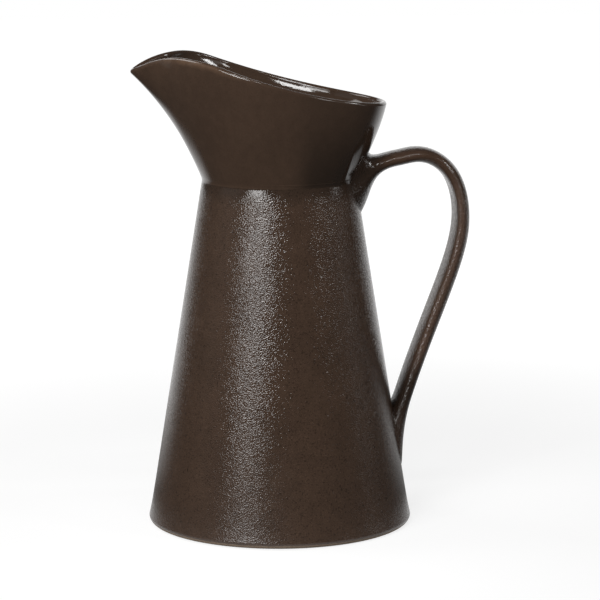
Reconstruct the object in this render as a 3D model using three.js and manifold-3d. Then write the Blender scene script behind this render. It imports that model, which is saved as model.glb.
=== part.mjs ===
// A stoneware jug: a conical body on a flat base, a flared collar drawn out into a pouring lip, and a
// strap handle luted on at both ends. Millimetres, +Z up, with z = 0 on the table and x = y = 0 on the
// axis of the body; the lip points to -X and the handle to +X.
import * as THREE from "three";
import { mergeVertices } from "three/addons/utils/BufferGeometryUtils.js";
import Module from "manifold-3d";

// Base and conical body
const BASE_RADIUS = 63.1; // of the cone, where it would meet the table
const BASE_THICKNESS = 7;
const HEEL_RADIUS = 2.6; // rounding of the lower edge
const FOOT_FLARE = 0.8; // outward swell of the wall just above the table
const FOOT_FLARE_RISE = 5; // height over which that swell dies away
const FOOT_WALL = 6;
const COVE_RADIUS = 8; // hollow rounding between the wall and the floor inside
const COVE_MEETING_ANGLE = THREE.MathUtils.degToRad(25); // at which the cove runs out on the floor

// Waist, where the collar is luted to the body
const WAIST_HEIGHT = 165;
const WAIST_RADIUS = 36.75;
const WAIST_WALL = 5;
const CREASE_RADIUS = 5; // hollow rounding of the outside at the waist

// Collar: heights of the rim's crown are above the waist
const COLLAR_WALL = 4.4; // towards its top
const RIM_EDGE = 2.8; // thickness of the rounded rim
const RIM_TAPER = 9; // stretch below the rim over which the wall thins to it from inside
const RIM_HALF_WIDTH = 45; // across the jug
const RIM_SHIFT = 9; // fullness of the oval towards the lip
const RIM_BACK_REACH = 51.2; // from the axis, on the handle's side
const RIM_SIDE_HEIGHT = 46.9; // beside the axis
const RIM_PITCH = 0.28; // climb of the rim towards the lip
const RIM_DISH = 0.0018; // upward curl of the rim at both ends, per millimetre
const LIP_REACH = 70.4; // outermost point of the lip from the axis
const LIP_SPREAD = THREE.MathUtils.degToRad(10.5); // half angle of the lip, seen from above
const LIP_POINT = 1.8; // 2 is a rounded tip, lower is more pointed
const LIP_DROOP = 22.5; // fall of the lip's tip under the line of the rim
const LIP_DROOP_START = 28; // distance from the axis where that fall begins
const LIP_DROOP_POWER = 2.12;
const COLLAR_BELLY_HEIGHT = 0.6; // share of the rise at which the wall's curve turns
const COLLAR_FULLNESS = 0.8; // share of its outward run that it has covered by then
const LIP_FLARE = 0.42; // how far the wall under the lip hangs back before it sweeps out
const THROAT_SPREAD = THREE.MathUtils.degToRad(28); // half angle of the fuller throat that leads to the lip

// Handle: a strap whose centre line rises from the waist, bends over and falls to the body
const STRAP_WIDTH = 20.5;
const STRAP_THICKNESS = 7.3; // over the crest and the bend
const STRAP_LOWER_THICKNESS = 7.9; // in the straight run below
const STRAP_THICKENS_FROM = 0.4; // shares of the strap's length between which it thickens
const STRAP_THICKENS_TO = 0.62;
const STRAP_SECTION_POWER = 2.15; // 2 is an ellipse, higher is squarer
const NECK_OUT = 19.25; // where the strap leaves its upper root, out from the waist
const NECK_RISE = 9.5; // and above it
const CREST_OUT = 29.45; // highest point of the centre line
const CREST_RISE = 11.2;
const FINGER_GAP = 44.2; // clear width between the body and the strap at its outermost point
const BEND_DROP = 19; // height of that point below the waist
const BEND_FULLNESS = 0.59; // 0.55 is a quarter ellipse, higher is squarer
const TAIL_HEIGHT = 60; // where the strap passes into its lower root
const TAIL_OUT = 6.8; // centre line there, off the body wall
const TAIL_LEAN = 0.325; // outward lean of the strap above it
const BEND_EASE = 0.23; // share of the fall over which the strap leaves the bend
const TAIL_EASE = 0.51; // and over which it runs straight into the tail

// Roots: the clay that spreads from each end of the strap over the wall
const UPPER_ROOT_ABOVE = 13; // reach on the wall over the waist
const UPPER_ROOT_BELOW = 22; // and under it
const UPPER_ROOT_WIDTH = 46;
const UPPER_ROOT_SWEEP_OUT = 6.55; // where the sweep under the strap turns down, out from the waist
const UPPER_ROOT_SWEEP_RISE = 3.5; // and above it
const UPPER_ROOT_DIP = 4.4; // of its upper edge, before that climbs the collar
const LOWER_ROOT_TOP = 56;
const LOWER_ROOT_END = 25;
const LOWER_ROOT_WIDTH = 29;
const ROOT_DEPTH = 3; // how far a root is drawn into the wall before it is fitted to it
const LUTING_GAP = 0.3; // slip joint between a root and the wall

// Facets
const FOOT_LEVELS = [0, 0.5, 1, 2, 4]; // rings of the foot, in rises of its swell
const BODY_SEGMENTS = 60;
const COLLAR_SEGMENTS = 64;
const CREASE_STEPS = 3;
const COLLAR_STEPS = 10; // up its wall
const RIM_CROWDING = 1.5; // packs those steps towards the rim
const LIP_CROWDING = 0.5; // packs the collar's segments towards the lip
const STRAP_SEGMENTS = 20; // round the strap
const STRAP_STEPS = [4, 12, 18]; // along its rise, its bend and its fall
const ROOT_STEPS = 9;

const GLAZE = { color: 0x3e3229, roughness: 0.42, metalness: 0 };

const wasm = await Module();
wasm.setup();

// Points on a circular arc in the plane of a profile, as [radius, height] pairs.
function arc(centreRadius, centreHeight, radius, from, to, steps) {
  return Array.from({ length: steps + 1 }, (_, i) => {
    const angle = from + ((to - from) * i) / steps;
    return [centreRadius + radius * Math.cos(angle), centreHeight + radius * Math.sin(angle)];
  });
}

// Solid of revolution about Z.
function revolve(profile) {
  const points = profile.map(([radius, height]) => new THREE.Vector2(radius, height));
  return new THREE.LatheGeometry(points, BODY_SEGMENTS).rotateX(Math.PI / 2);
}

// Closed skin over a row of rings: a loop joins the last ring to the first, else both ends are capped.
function skin(rings, loop = false) {
  const count = rings[0].length;
  const points = rings.flat();
  const faces = [];
  const spans = loop ? rings.length : rings.length - 1;
  for (let i = 0; i < spans; i++) {
    const here = i * count;
    const there = ((i + 1) % rings.length) * count;
    for (let j = 0; j < count; j++) {
      const k = (j + 1) % count;
      faces.push(here + j, here + k, there + k);
      faces.push(here + j, there + k, there + j);
    }
  }
  if (!loop) {
    const last = (rings.length - 1) * count;
    const centres = [rings[0], rings.at(-1)].map((ring) => {
      const sum = ring.reduce((total, p) => total.add(p), new THREE.Vector3());
      return points.push(sum.divideScalar(count)) - 1;
    });
    for (let j = 0; j < count; j++) {
      const k = (j + 1) % count;
      faces.push(centres[0], k, j);
      faces.push(centres[1], last + j, last + k);
    }
  }
  return new THREE.BufferGeometry().setFromPoints(points).setIndex(faces);
}

function toSolid(geometry) {
  const bare = geometry.clone();
  bare.deleteAttribute("normal");
  bare.deleteAttribute("uv");
  const merged = mergeVertices(bare, 1e-4);
  return new wasm.Manifold(
    new wasm.Mesh({
      numProp: 3,
      vertProperties: merged.attributes.position.array,
      triVerts: new Uint32Array(merged.index.array),
    }),
  );
}

function toGeometry(solid) {
  const { vertProperties, triVerts } = solid.getMesh();
  const geometry = new THREE.BufferGeometry();
  geometry.setAttribute("position", new THREE.BufferAttribute(vertProperties, 3));
  return geometry.setIndex(new THREE.BufferAttribute(triVerts, 1));
}

// The cone is tangent to the crease at the waist.
const creaseCentre = WAIST_RADIUS + CREASE_RADIUS;
const coneLean =
  Math.atan2(BASE_RADIUS - creaseCentre, WAIST_HEIGHT) +
  Math.asin(CREASE_RADIUS / Math.hypot(BASE_RADIUS - creaseCentre, WAIST_HEIGHT));

// Outer radius of the body at a height below the crease.
function bodyRadius(height) {
  return BASE_RADIUS - Math.tan(coneLean) * height + FOOT_FLARE * Math.exp(-height / FOOT_FLARE_RISE);
}

// Outer side of the body from a height up to the waist, as a profile.
function bodySide(from) {
  const cone = FOOT_LEVELS.map((level) => {
    const height = from + level * FOOT_FLARE_RISE;
    return [bodyRadius(height), height];
  });
  const crease = arc(creaseCentre, WAIST_HEIGHT, CREASE_RADIUS, Math.PI + coneLean, Math.PI, CREASE_STEPS);
  return [...cone, ...crease];
}

function makeBase() {
  const heelCentre = bodyRadius(HEEL_RADIUS) - HEEL_RADIUS;
  const heel = arc(heelCentre, HEEL_RADIUS, HEEL_RADIUS, -Math.PI / 2, 0, 5);
  const edge = [bodyRadius(BASE_THICKNESS), BASE_THICKNESS];
  return revolve([[0, 0], ...heel, edge, [0, BASE_THICKNESS]]);
}

function makeBodyWall() {
  const innerTop = WAIST_RADIUS - WAIST_WALL;
  const innerFoot = bodyRadius(BASE_THICKNESS) - FOOT_WALL;
  const innerLean = Math.atan((innerFoot - innerTop) / (WAIST_HEIGHT - BASE_THICKNESS));
  const coveHeight = BASE_THICKNESS + COVE_RADIUS * Math.cos(COVE_MEETING_ANGLE);
  const coveCentre =
    innerFoot - Math.tan(innerLean) * (coveHeight - BASE_THICKNESS) - COVE_RADIUS / Math.cos(innerLean);
  const cove = arc(coveCentre, coveHeight, COVE_RADIUS, innerLean, COVE_MEETING_ANGLE - Math.PI / 2, 4);
  const profile = [...bodySide(BASE_THICKNESS), [innerTop, WAIST_HEIGHT], ...cove];
  return revolve([...profile, profile[0]]);
}

// How much of the lip the collar holds at an angle from it: 1 at the tip, towards 0 elsewhere.
function lipShare(angle, spread = LIP_SPREAD) {
  return Math.exp(-(Math.abs(angle / spread) ** LIP_POINT));
}

// Outer radius of the rim seen from above, before the lip is drawn out of it.
function rimOval(angle) {
  const back = RIM_BACK_REACH - RIM_HALF_WIDTH + RIM_SHIFT;
  return RIM_HALF_WIDTH + RIM_SHIFT * Math.cos(angle) + back * Math.max(0, -Math.cos(angle)) ** 2;
}

const lipLength = LIP_REACH - rimOval(0);

// Top of the middle of the wall at an angle from the lip, as radius and height.
function wallTop(angle) {
  const radius = rimOval(angle) + lipLength * lipShare(angle) - COLLAR_WALL / 2;
  const along = radius * Math.cos(angle);
  const droop = Math.max(0, (along - LIP_DROOP_START) / (LIP_REACH - LIP_DROOP_START));
  const crown =
    RIM_SIDE_HEIGHT + RIM_PITCH * along + RIM_DISH * along ** 2 - LIP_DROOP * droop ** LIP_DROOP_POWER;
  return new THREE.Vector2(radius, WAIST_HEIGHT + crown - RIM_EDGE / 2);
}

// The collar's section at an angle from the lip: points of its outer side, each with an outward normal
// and a wall.
function collarSection(angle) {
  const top = wallTop(angle);
  const creaseMiddle = CREASE_RADIUS + WAIST_WALL / 2;
  const share = COLLAR_FULLNESS - LIP_FLARE * lipShare(angle);
  const run = top.x - (creaseCentre - creaseMiddle);
  const lean = Math.atan2(share * run, COLLAR_BELLY_HEIGHT * (top.y - WAIST_HEIGHT));
  const crease = arc(creaseCentre, WAIST_HEIGHT, creaseMiddle, Math.PI, Math.PI - lean, CREASE_STEPS);
  const start = new THREE.Vector2(...crease.pop());
  const rise = COLLAR_BELLY_HEIGHT * (top.y - start.y);
  const turn = new THREE.Vector2(start.x + Math.tan(lean) * rise, start.y + rise);
  const flank = new THREE.QuadraticBezierCurve(start, turn, top);
  const throat = lipLength * (lipShare(angle, THROAT_SPREAD) - lipShare(angle));
  const side = crease.map(([radius, height], i) => ({
    point: new THREE.Vector2(radius, height),
    tangent: (lean * i) / CREASE_STEPS,
    wall: WAIST_WALL,
  }));
  for (let i = 0; i <= COLLAR_STEPS; i++) {
    const climb = 1 - (1 - i / COLLAR_STEPS) ** RIM_CROWDING;
    const point = flank.getPoint(climb);
    point.x += throat * (climb ** 2 - climb ** 4);
    const direction = turn.clone().lerp(top, climb).sub(start.clone().lerp(turn, climb));
    direction.x += throat * (climb - 2 * climb ** 3);
    const wall = THREE.MathUtils.lerp(WAIST_WALL, COLLAR_WALL, climb);
    side.push({ point, tangent: Math.atan2(direction.x, direction.y), wall });
  }
  for (const level of side) {
    level.normal = new THREE.Vector2(Math.cos(level.tangent), -Math.sin(level.tangent));
    level.point.addScaledVector(level.normal, level.wall / 2);
  }
  const rim = side.at(-1).point;
  for (const level of side) {
    const full = THREE.MathUtils.smoothstep(level.point.distanceTo(rim), 0, RIM_TAPER);
    level.wall = THREE.MathUtils.lerp(RIM_EDGE, level.wall, full);
  }
  return side;
}

// Angles round the collar, from the lip, closest together at the lip.
const collarAngles = Array.from({ length: COLLAR_SEGMENTS }, (_, i) => {
  const turn = (2 * Math.PI * i) / COLLAR_SEGMENTS;
  const angle = turn - LIP_CROWDING * Math.sin(turn);
  return angle > Math.PI ? angle - 2 * Math.PI : angle;
});

// A point of the collar from its radius and height at an angle from the lip.
function around(angle, radius, height) {
  return new THREE.Vector3(-radius * Math.cos(angle), -radius * Math.sin(angle), height);
}

function makeCollar() {
  const rings = collarAngles.map((angle) => {
    const section = collarSection(angle);
    const outer = section.map(({ point }) => point);
    const inner = section.map(({ point, normal, wall }) => point.clone().addScaledVector(normal, -wall));
    const { normal } = section.at(-1);
    const up = new THREE.Vector2(-normal.y, normal.x);
    const crown = [3, 2, 1].map((i) => {
      const turn = (Math.PI * i) / 4;
      return outer
        .at(-1)
        .clone()
        .addScaledVector(normal, ((Math.cos(turn) - 1) * RIM_EDGE) / 2)
        .addScaledVector(up, (Math.sin(turn) * RIM_EDGE) / 2);
    });
    return [...inner, ...crown, ...outer.reverse()].map((p) => around(angle, p.x, p.y));
  });
  return skin(rings, true);
}

// The space that the body and the collar take up, filled in and swollen by the luting gap.
function filledWall() {
  const body = revolve([
    [0, 0],
    ...bodySide(0).map(([radius, height]) => [radius + LUTING_GAP, height]),
    [0, WAIST_HEIGHT],
  ]);
  const sections = collarAngles.map((angle) => collarSection(angle));
  const levels = sections[0].map((_, level) =>
    sections.map((section, i) => {
      const { point, normal } = section[level];
      const outside = point.clone().addScaledVector(normal, LUTING_GAP);
      return around(collarAngles[i], outside.x, level ? outside.y : WAIST_HEIGHT - LUTING_GAP);
    }),
  );
  return toSolid(body).add(toSolid(skin(levels)));
}

// Outer radius of the collar on the handle's side, at a height above the waist.
function collarBackRadius(height) {
  const side = collarSection(Math.PI).map(({ point }) => point);
  const i = side.findIndex((p) => p.y >= height);
  const share = (height - side[i - 1].y) / (side[i].y - side[i - 1].y);
  return THREE.MathUtils.lerp(side[i - 1].x, side[i].x, share);
}

// Centre line of the strap in the plane of the handle, as three curves of (distance from the axis, height).
const neck = new THREE.Vector2(WAIST_RADIUS + NECK_OUT, WAIST_HEIGHT + NECK_RISE);
const crest = new THREE.Vector2(WAIST_RADIUS + CREST_OUT, WAIST_HEIGHT + CREST_RISE);
const bendHeight = WAIST_HEIGHT - BEND_DROP;
const bend = new THREE.Vector2(bodyRadius(bendHeight) + FINGER_GAP + STRAP_THICKNESS / 2, bendHeight);
const tail = new THREE.Vector2(bodyRadius(TAIL_HEIGHT) + TAIL_OUT, TAIL_HEIGHT);
const fall = bend.y - tail.y;
const strapCurves = [
  new THREE.CubicBezierCurve(
    neck,
    neck.clone().lerp(crest, 1 / 3),
    new THREE.Vector2(THREE.MathUtils.lerp(crest.x, neck.x, 1 / 3), crest.y),
    crest,
  ),
  new THREE.CubicBezierCurve(
    crest,
    new THREE.Vector2(THREE.MathUtils.lerp(crest.x, bend.x, BEND_FULLNESS), crest.y),
    new THREE.Vector2(bend.x, THREE.MathUtils.lerp(bend.y, crest.y, BEND_FULLNESS)),
    bend,
  ),
  new THREE.CubicBezierCurve(
    bend,
    new THREE.Vector2(bend.x, bend.y - BEND_EASE * fall),
    new THREE.Vector2(tail.x + TAIL_EASE * fall * TAIL_LEAN, tail.y + TAIL_EASE * fall),
    tail,
  ),
];

// A ring of the strap between an outer and an inner edge in the plane of the handle.
function strapRing(outer, inner, width) {
  const rounded = (value) => Math.sign(value) * Math.abs(value) ** (2 / STRAP_SECTION_POWER);
  return Array.from({ length: STRAP_SEGMENTS }, (_, i) => {
    const angle = (2 * Math.PI * i) / STRAP_SEGMENTS;
    const share = 0.5 + 0.5 * rounded(Math.cos(angle));
    const place = inner.clone().lerp(outer, share);
    return new THREE.Vector3(place.x, (-rounded(Math.sin(angle)) * width) / 2, place.y);
  });
}

// Stations along the strap: its two edges in the plane of the handle and its direction of travel.
const stations = strapCurves.flatMap((curve, i) =>
  Array.from({ length: STRAP_STEPS[i] + (i === 2 ? 1 : 0) }, (_, j) => {
    const share = j / STRAP_STEPS[i];
    const place = curve.getPoint(share);
    const travel = curve.getTangent(share);
    return { place, travel };
  }),
);
stations.forEach((station, i) => {
  const share = i / (stations.length - 1);
  const lower = THREE.MathUtils.smoothstep(share, STRAP_THICKENS_FROM, STRAP_THICKENS_TO);
  const half = THREE.MathUtils.lerp(STRAP_THICKNESS, STRAP_LOWER_THICKNESS, lower) / 2;
  const outward = new THREE.Vector2(-station.travel.y, station.travel.x);
  station.outer = station.place.clone().addScaledVector(outward, half);
  station.inner = station.place.clone().addScaledVector(outward, -half);
});

function makeHandle() {
  return skin(stations.map(({ outer, inner }) => strapRing(outer, inner, STRAP_WIDTH)));
}

// A root spreads from an end of the strap along an outer and an inner edge curve, into the wall.
function rootRings(station, outerTurn, outerEnd, innerTurn, innerEnd, endWidth) {
  const outerEdge = new THREE.QuadraticBezierCurve(station.outer, outerTurn, outerEnd);
  const innerEdge = new THREE.QuadraticBezierCurve(station.inner, innerTurn, innerEnd);
  return Array.from({ length: ROOT_STEPS + 1 }, (_, i) => {
    const share = i / ROOT_STEPS;
    const width = THREE.MathUtils.lerp(STRAP_WIDTH, endWidth, share ** 2);
    return strapRing(outerEdge.getPoint(share), innerEdge.getPoint(share), width);
  });
}

function makeUpperRoot(wall) {
  const station = stations[0];
  const top = WAIST_HEIGHT + UPPER_ROOT_ABOVE;
  const bottom = WAIST_HEIGHT - UPPER_ROOT_BELOW;
  const topWall = collarBackRadius(top);
  const rings = rootRings(
    station,
    new THREE.Vector2(topWall + ROOT_DEPTH, top - UPPER_ROOT_DIP),
    new THREE.Vector2(topWall - ROOT_DEPTH, top),
    new THREE.Vector2(WAIST_RADIUS + UPPER_ROOT_SWEEP_OUT, WAIST_HEIGHT + UPPER_ROOT_SWEEP_RISE),
    new THREE.Vector2(bodyRadius(bottom) - ROOT_DEPTH, bottom),
    UPPER_ROOT_WIDTH,
  );
  return toGeometry(toSolid(skin(rings.reverse())).subtract(wall));
}

function makeLowerRoot(wall) {
  const station = stations.at(-1);
  const rings = rootRings(
    station,
    new THREE.Vector2(bodyRadius(LOWER_ROOT_END) + ROOT_DEPTH / 2, LOWER_ROOT_END + ROOT_DEPTH),
    new THREE.Vector2(bodyRadius(LOWER_ROOT_END) - ROOT_DEPTH, LOWER_ROOT_END),
    new THREE.Vector2(bodyRadius(LOWER_ROOT_TOP) + ROOT_DEPTH / 2, LOWER_ROOT_TOP + ROOT_DEPTH / 2),
    new THREE.Vector2(bodyRadius(LOWER_ROOT_TOP) - ROOT_DEPTH, LOWER_ROOT_TOP),
    LOWER_ROOT_WIDTH,
  );
  return toGeometry(toSolid(skin(rings)).subtract(wall));
}

const wall = filledWall();
const jug = new THREE.Group();
const pieces = [
  ["base", makeBase()],
  ["body_wall", makeBodyWall()],
  ["collar", makeCollar()],
  ["handle", makeHandle()],
  ["handle_upper_root", makeUpperRoot(wall)],
  ["handle_lower_root", makeLowerRoot(wall)],
];
for (const [name, geometry] of pieces) {
  const mesh = new THREE.Mesh(geometry, new THREE.MeshStandardMaterial(GLAZE));
  mesh.name = name;
  jug.add(mesh);
}

export default jug;
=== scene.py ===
import math

import bmesh
import bpy
import numpy as np
from mathutils import Matrix, Vector


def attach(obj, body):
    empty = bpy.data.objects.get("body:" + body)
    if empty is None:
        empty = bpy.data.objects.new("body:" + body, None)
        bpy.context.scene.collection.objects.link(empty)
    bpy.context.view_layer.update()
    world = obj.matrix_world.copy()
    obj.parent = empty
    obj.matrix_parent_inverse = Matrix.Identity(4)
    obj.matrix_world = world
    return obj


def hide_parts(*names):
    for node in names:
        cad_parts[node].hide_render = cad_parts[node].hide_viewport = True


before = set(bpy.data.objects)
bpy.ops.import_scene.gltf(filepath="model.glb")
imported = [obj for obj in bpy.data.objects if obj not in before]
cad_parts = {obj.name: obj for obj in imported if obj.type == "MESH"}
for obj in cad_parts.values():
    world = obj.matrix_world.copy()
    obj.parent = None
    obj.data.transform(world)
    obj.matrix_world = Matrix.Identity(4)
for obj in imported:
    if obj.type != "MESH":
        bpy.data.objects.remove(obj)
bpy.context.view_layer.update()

MM = 0.001

# --- Sizes of the jug, as the solids have them: millimetres and radians ---

BASE_RADIUS = 63.1  # of the cone, where it would meet the table
BASE_THICKNESS = 7
HEEL_RADIUS = 2.6  # rounding of the lower edge
FOOT_FLARE = 0.8  # outward swell of the wall just above the table
FOOT_FLARE_RISE = 5  # height over which that swell dies away
FOOT_WALL = 6
COVE_RADIUS = 8  # hollow rounding between the wall and the floor inside
COVE_MEETING_ANGLE = math.radians(25)  # at which the cove runs out on the floor

WAIST_HEIGHT = 165
WAIST_RADIUS = 36.75
WAIST_WALL = 5
CREASE_RADIUS = 5  # hollow rounding of the outside at the waist

COLLAR_WALL = 4.4  # towards its top
RIM_EDGE = 2.8  # thickness of the rounded rim
RIM_TAPER = 9  # stretch below the rim over which the wall thins to it from inside
RIM_HALF_WIDTH = 45  # across the jug
RIM_SHIFT = 9  # fullness of the oval towards the lip
RIM_BACK_REACH = 51.2  # from the axis, on the handle's side
RIM_SIDE_HEIGHT = 46.9  # above the waist, beside the axis
RIM_PITCH = 0.28  # climb of the rim towards the lip
RIM_DISH = 0.0018  # upward curl of the rim at both ends, per millimetre
LIP_REACH = 70.4  # outermost point of the lip from the axis
LIP_SPREAD = math.radians(10.5)  # half angle of the lip, seen from above
LIP_POINT = 1.8  # 2 is a rounded tip, lower is more pointed
LIP_DROOP = 22.5  # fall of the lip's tip under the line of the rim
LIP_DROOP_START = 28  # distance from the axis where that fall begins
LIP_DROOP_POWER = 2.12
COLLAR_BELLY_HEIGHT = 0.6  # share of the rise at which the wall's curve turns
COLLAR_FULLNESS = 0.8  # share of its outward run that it has covered by then
LIP_FLARE = 0.42  # how far the wall under the lip hangs back before it sweeps out
THROAT_SPREAD = math.radians(28)  # half angle of the fuller throat that leads to the lip

STRAP_WIDTH = 20.5
STRAP_THICKNESS = 7.3  # over the crest and the bend
STRAP_LOWER_THICKNESS = 7.9  # in the straight run below
STRAP_THICKENS = (0.4, 0.62)  # shares of the strap's length between which it thickens
STRAP_SECTION_POWER = 2.15  # 2 is an ellipse, higher is squarer
NECK_OUT, NECK_RISE = 19.25, 9.5  # where the strap leaves its upper root, from the waist
CREST_OUT, CREST_RISE = 29.45, 11.2  # highest point of the centre line, from the waist
FINGER_GAP = 44.2  # between the body and the strap at its outermost point
BEND_DROP = 19  # height of that point below the waist
BEND_FULLNESS = 0.59  # 0.55 is a quarter ellipse, higher is squarer
TAIL_HEIGHT = 60  # where the strap passes into its lower root
TAIL_OUT = 6.8  # centre line there, off the body wall
TAIL_LEAN = 0.325  # outward lean of the strap above it
BEND_EASE = 0.23  # share of the fall over which the strap leaves the bend
TAIL_EASE = 0.51  # and over which it runs straight into the tail

UPPER_ROOT_ABOVE, UPPER_ROOT_BELOW = 13, 22  # reach on the wall over and under the waist
UPPER_ROOT_SWEEP_OUT = 6.55  # where the sweep under the strap turns down, out from the waist
UPPER_ROOT_SWEEP_RISE = 3.5  # and above it
UPPER_ROOT_DIP = 4.4  # of its upper edge, before that climbs the collar
LOWER_ROOT_TOP, LOWER_ROOT_END = 56, 25
LOWER_ROOT_WIDTH = 29
ROOT_DEPTH = 3  # how far a root's turning points stand off the wall

crease_centre = WAIST_RADIUS + CREASE_RADIUS
cone_lean = (math.atan2(BASE_RADIUS - crease_centre, WAIST_HEIGHT)
             + math.asin(CREASE_RADIUS / math.hypot(BASE_RADIUS - crease_centre, WAIST_HEIGHT)))

# --- Finer sizes that only the finished surfaces have ---

JOIN_LEDGE = 0.1  # how far the clay under the join stands proud of the collar
JOIN_CLIMB, JOIN_HALF_WIDTH = 1.9, 0.2  # the ledge's place above the narrowest ring, and its half width
JOIN_FADES = (math.radians(92), math.radians(118))  # angles from the handle where the join is wiped smooth

GROOVE_DEPTH = 0.52  # of the groove that a thumb leaves along each side of the upper root
GROOVE_FROM, GROOVE_TO = math.radians(40), math.radians(31)  # angles from the handle: edge, deepest line
GROOVE_BACK = math.radians(14)  # where it has come up again, under the root
GROOVE_RISE = (166, 169, 178, 186)  # heights where it starts, is full, fades and ends

EDGE_ROLL = 0.35  # inward lean of the strap's edges from the bend on, in half thicknesses
EDGE_ROLL_STARTS, EDGE_ROLL_ENDS = (0.2, 0.36), (1, 0.8)  # in shares of the strap's length
EDGE_ROLL_STILL = 0.35  # squared share of the half width that the roll leaves in place

# Turning points of the clay beside the strap: distance from the axis, height, half width.
UPPER_SIDE_TURN = (40.5, 166.5, 11.5)
LOWER_SIDE_TURN = (57.5, 47, 11.8)
UPPER_ROOT_SPREAD = 18.5  # half width of the upper root on the wall
UPPER_ROOT_LIFT = 6  # of its foot, where it has run out on the wall
UPPER_ROOT_BULGE = 1.3  # of its foot, beyond the straight way to the wall
ROOT_BULGES = (0.2, -0.8)  # from the strap's outer face, 1, to its inner one, -1: no bulge, full bulge
BULGE_PEAK = 0.08  # highest value of the bulge's curve
LEAVING_REACH = 0.6  # share of the way to its turning point over which the clay follows the strap
UPPER_ROOT_HUG, LOWER_ROOT_HUG = 0.85, 0.66  # how closely the clay passes its turning points
FOOTPRINT_SQUARENESS = 3.6  # of the upper root's upper half; 2 is an ellipse
ROOT_FOOT_RISE = 0.03  # how far a root's foot still stands off the wall
# The edge of a root dives into the wall, in steps of (reach beyond the foot, height).
ROOT_EDGE = ((0.01, 0.0), (0.02, -0.5), (0.025, -1.5))
UPPER_EDGE_SCALE, LOWER_EDGE_SCALE = 0.3, 0.1  # of those heights
CAP_DEPTH = 2.2  # of the hidden cap in the wall
CAP_RINGS = (1.0, 0.65, 0.3)  # in shares of the footprint

# --- Rows and segments of the meshes ---

BODY_SEGMENTS = 240
AXIS_RADIUS = 1  # of the small circle that the half section is carried round
MERGE_DISTANCE = 1e-6  # metres
UNDERSIDE_RINGS = (0.5, 0.93)  # in shares of the flat underside
HEEL_LEAD = 0.6  # flat ring before the heel begins
HEEL_STEPS, WAIST_STEPS, COVE_STEPS = 10, 12, 12
FOOT_LEVELS = (0.08, 0.2, 0.4, 0.7, 1.1, 1.6, 2.2, 3)  # above the heel, in rises of the swell
CONE_START = 4  # in the same rises
CONE_END_GAP = 2  # below the waist's rounding
CONE_ROWS = 24
INNER_WALL_ROWS, INNER_WALL_END = 12, 0.01  # and the share of the wall left free at both ends
FLOOR_RINGS = (0.97, 0.9, 0.6, 0.3, 0)
FLOOR_TOLERANCE = 0.1  # points further under the floor are outside

COLLAR_SEGMENTS = 432
LIP_CROWDING = 0.5  # packs the collar's segments towards the lip
CREASE_STEPS, FLANK_STEPS = 60, 300  # of the section that the collar's rows are read from
BELOW_JOIN_ROWS, JOIN_ROWS, FLANK_ROWS = 5, 13, 40  # up the outside
INNER_ROWS, INNER_CROWDING = 44, 1.6  # up the inside, packed towards the rim
CROWN_STEPS = 14  # over the rounded rim

STRAP_SECTION_POINTS = 56
STRAP_STEPS = (10, 34, 44)  # along its rise, its bend and its fall
ROOT_STEPS = 26
SHARP_ANGLE = math.radians(50)

# --- Glazes ---

BODY_BROWN = (0.055, 0.0335, 0.0225, 1)
COLLAR_BROWN = (0.056, 0.0345, 0.0232, 1)
HANDLE_BROWN = (0.060, 0.035, 0.023, 1)
BARE_CLAY = (0.25, 0.185, 0.135, 1)
PAINTED_SHADE_BROWN = (0.013, 0.0095, 0.0070, 1)  # painted shade: dark brown laid where the jug lies in shade
STRAP_SHEEN_BROWN = (0.115, 0.072, 0.053, 1)  # painted sheen: lighter brown along the strap's edges, standing in for its highlight line
# tan of glaze drawn thin at the rim, partly a painted highlight where the rim's outer flare catches warm
# light
RIM_TAN_AND_GLOW = (0.135, 0.082, 0.052, 1)
GLAZE_IOR = 1.5
PITS = (0.3, 0.7)  # values of the grain from pits to tops

# Clouding and speckle of the colour; grains per metre and their depth in metres; slow unevenness.
BODY_MOTTLE, BODY_GRAIN, BODY_UNEVENNESS = (0.10, 0.4), (1950, 0.00016), 0.5
COLLAR_MOTTLE, COLLAR_GRAIN = (0.08, 0.08), (1500, 0.00012)
HANDLE_MOTTLE, HANDLE_GRAIN, HANDLE_UNEVENNESS = (0.12, 0.14), (1400, 0.00018), 0.8

# Noises: grains per metre, detail, roughness.
CLOUDS, PATCHES, SLOW_WALL = (55, 3, 0.55), (260, 2, 0.5), (75, 1, 0.4)
PALE_SPECKS, DARK_SPECKS = (1500, 2, 0.6), (1150, 1, 0.5)
CLAY_FRAY, TAN_FRAY, SHEEN_FRAY = (420, 2, 0.5), (240, 3, 0.6), (900, 2, 0.6)
FINE_GRAIN, COARSE_GRAIN = (0, 0.5), (1, 0.5)  # detail and roughness alone
COARSE_SCALE, COARSE_SHARE = 0.37, 0.25  # against the fine grain
CLOUD_SHARE, PATCH_SHARE = 0.6, 0.4

# A spread is (from, to, value at the first, value at the second), with 0 and 1 where they are left out.
# Heights in it are in metres.
CLOUD_RANGE, PALE_SHOWS, DARK_SHOWS = (0.35, 0.65, -1, 1), (0.54, 0.72), (0.46, 0.28)
WAIST_SMOOTHS = (0.158, 0.1645, 1.0, 0.35)
FOOT_SMOOTHS = (0.10, 0.015, 1.0, 0.7)
# painted shade under the collar: heights between which the cone darkens, and how far
WAIST_PAINTED_SHADE = (0.155, 0.164, 0, 0.45)
BODY_ROUGHNESS = (*PITS, 0.11, 0.06)
FOOT_DULLS = (0.08, 0.01, 0, 0.15)
CLAY_EDGE = (0.0020, 0.0014)  # heights between which the glaze ends in bare clay
CLAY_FRAY_REACH, CLAY_ROUGHNESS = 0.0006, 0.85
BODY_INSIDE_GRAIN, BODY_INSIDE_GLOSS = (0, 1, 1.0, 0.3), (0, 1, 1.0, 0.4)

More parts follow.
